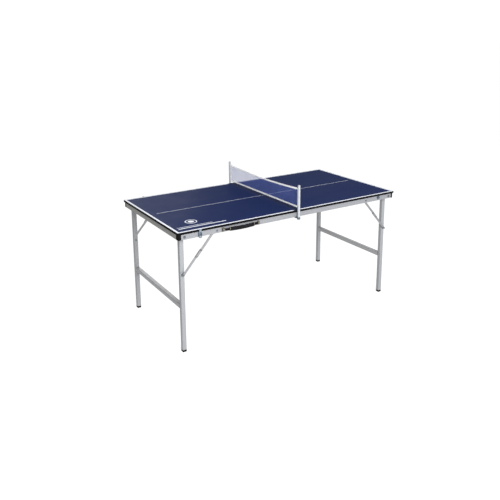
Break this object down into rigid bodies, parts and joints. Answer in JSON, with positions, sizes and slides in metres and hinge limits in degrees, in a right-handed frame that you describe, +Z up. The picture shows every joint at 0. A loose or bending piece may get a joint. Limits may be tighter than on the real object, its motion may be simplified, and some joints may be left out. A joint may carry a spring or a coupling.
{
  "type": "folding ping pong table",
  "caption": "Folding ping pong table: two hinged blue halves on folding leg frames with locking stays, side latches, a carrying handle and a lift-out net",
  "frame": {"origin": "on the floor below the middle of the open table", "axes": "+X along the length towards the right half, +Y across, away from the side with the handle, +Z up"},
  "size_m": [1.524, 0.8033, 0.847],
  "materials": {
    "blue_laminate": "satin blue playing surface with printed white lines",
    "black_trim": "satin black extruded edging",
    "rail_aluminium": "satin anodised extrusion",
    "black_block": "moulded black plastic",
    "steel_fastener": "zinc-plated steel",
    "bush_plastic": "black moulded nylon",
    "hinge_steel": "zinc-plated steel",
    "latch_zinc": "blue-grey zinc plate",
    "bracket_nickel": "nickel plate",
    "leg_aluminium": "satin anodised tube",
    "foot_rubber": "black rubber",
    "stay_steel": "zinc-plated strip",
    "strap_plastic": "black moulded plastic",
    "grip_rubber": "ribbed black grip",
    "post_paint": "pale grey powder coat",
    "net_mesh": "open blue knotted mesh",
    "net_tape": "white woven tape",
    "socket_zinc": "dark zinc plate",
    "screw_steel": "dark zinc plate"
  },
  "bodies": {
    "left_half": {"left_panel": "blue_laminate", "left_trim": "black_trim", "left_front_rail": "rail_aluminium", "left_back_rail": "rail_aluminium", "left_end_rail": "rail_aluminium", "left_joint_rail": "rail_aluminium", "left_corner_blocks": "black_block", "left_screws": "steel_fastener", "left_leg_bolts": "steel_fastener", "left_bushes": "bush_plastic", "left_stay_rivets": "steel_fastener", "left_hinge_leaves": "hinge_steel", "hinge_pins": "steel_fastener", "latch_bases": "latch_zinc", "handle_brackets": "bracket_nickel", "net_sockets": "socket_zinc", "socket_rivets": "steel_fastener"},
    "net_set": {"front_net_post": "post_paint", "back_net_post": "post_paint", "net_mesh": "net_mesh", "net_top_tape": "net_tape", "net_bottom_tape": "net_tape", "net_end_tapes": "net_tape"},
    "right_half": {"right_panel": "blue_laminate", "right_trim": "black_trim", "right_front_rail": "rail_aluminium", "right_back_rail": "rail_aluminium", "right_end_rail": "rail_aluminium", "right_joint_rail": "rail_aluminium", "right_corner_blocks": "black_block", "right_screws": "steel_fastener", "right_leg_bolts": "steel_fastener", "right_bushes": "bush_plastic", "right_stay_rivets": "steel_fastener", "right_hinge_leaves": "hinge_steel", "latch_catches": "latch_zinc"},
    "left_legs": {"left_front_leg": "leg_aluminium", "left_back_leg": "leg_aluminium", "left_crossbar": "leg_aluminium", "left_feet": "foot_rubber", "left_stay_bolts": "screw_steel"},
    "left_upper_stays": {"left_upper_stays": "stay_steel", "left_knee_rivets": "steel_fastener"},
    "left_lower_stays": {"left_lower_stays": "stay_steel"},
    "right_legs": {"right_front_leg": "leg_aluminium", "right_back_leg": "leg_aluminium", "right_crossbar": "leg_aluminium", "right_feet": "foot_rubber", "right_stay_bolts": "screw_steel"},
    "right_upper_stays": {"right_upper_stays": "stay_steel", "right_knee_rivets": "steel_fastener"},
    "right_lower_stays": {"right_lower_stays": "stay_steel"},
    "front_latch_lever": {"front_latch_lever": "latch_zinc"},
    "front_latch_claw": {"front_latch_claw": "latch_zinc"},
    "back_latch_lever": {"back_latch_lever": "latch_zinc"},
    "back_latch_claw": {"back_latch_claw": "latch_zinc"},
    "handle": {"handle_strap": "strap_plastic", "handle_grip": "grip_rubber"}
  },
  "joints": [
    {"name": "centre_fold", "type": "hinge", "parent": "left_half", "child": "right_half", "pos_m": [0, 0, 0.6535], "axis": [0, 1, 0], "range_deg": [0, 90]},
    {"name": "left_leg_fold", "type": "hinge", "parent": "left_half", "child": "left_legs", "pos_m": [-0.72, 0, 0.671], "axis": [0, -1, 0], "range_deg": [0, 90]},
    {"name": "left_upper_stay_swing", "type": "hinge", "parent": "left_half", "child": "left_upper_stays", "pos_m": [-0.528, 0, 0.671], "axis": [0, 1, 0], "range_deg": [0, 48.89]},
    {"name": "left_lower_stay_swing", "type": "hinge", "parent": "left_legs", "child": "left_lower_stays", "pos_m": [-0.72, 0, 0.451], "axis": [0, -1, 0], "range_deg": [0, 41.11]},
    {"name": "right_leg_fold", "type": "hinge", "parent": "right_half", "child": "right_legs", "pos_m": [0.72, 0, 0.671], "axis": [0, 1, 0], "range_deg": [0, 90]},
    {"name": "right_upper_stay_swing", "type": "hinge", "parent": "right_half", "child": "right_upper_stays", "pos_m": [0.528, 0, 0.671], "axis": [0, -1, 0], "range_deg": [0, 48.89]},
    {"name": "right_lower_stay_swing", "type": "hinge", "parent": "right_legs", "child": "right_lower_stays", "pos_m": [0.72, 0, 0.451], "axis": [0, 1, 0], "range_deg": [0, 41.11]},
    {"name": "front_latch_swing", "type": "hinge", "parent": "left_half", "child": "front_latch_lever", "pos_m": [-0.631, -0.381, 0.668], "axis": [1, 0, 0], "range_deg": [0, 105]},
    {"name": "front_claw_swing", "type": "hinge", "parent": "front_latch_lever", "child": "front_latch_claw", "pos_m": [-0.631, -0.3806, 0.677], "axis": [1, 0, 0], "range_deg": [-126, 0]},
    {"name": "back_latch_swing", "type": "hinge", "parent": "left_half", "child": "back_latch_lever", "pos_m": [-0.631, 0.381, 0.668], "axis": [-1, 0, 0], "range_deg": [0, 105]},
    {"name": "back_claw_swing", "type": "hinge", "parent": "back_latch_lever", "child": "back_latch_claw", "pos_m": [-0.631, 0.3806, 0.677], "axis": [-1, 0, 0], "range_deg": [-126, 0]},
    {"name": "handle_swing", "type": "hinge", "parent": "left_half", "child": "handle", "pos_m": [-0.382, -0.384, 0.672], "axis": [-1, 0, 0], "range_deg": [-60, 50]},
    {"name": "net_lift", "type": "slide", "parent": "left_half", "child": "net_set", "axis": [0, 0, 1], "range_m": [0, 0.03]}
  ],
  "couplings": [
    {"joint": "left_upper_stay_swing", "follows": "left_leg_fold", "ratio": 0.5432},
    {"joint": "left_lower_stay_swing", "follows": "left_leg_fold", "ratio": 0.4568},
    {"joint": "right_upper_stay_swing", "follows": "right_leg_fold", "ratio": 0.5432},
    {"joint": "right_lower_stay_swing", "follows": "right_leg_fold", "ratio": 0.4568},
    {"joint": "front_claw_swing", "follows": "front_latch_swing", "ratio": -1.2},
    {"joint": "back_claw_swing", "follows": "back_latch_swing", "ratio": -1.2}
  ]
}
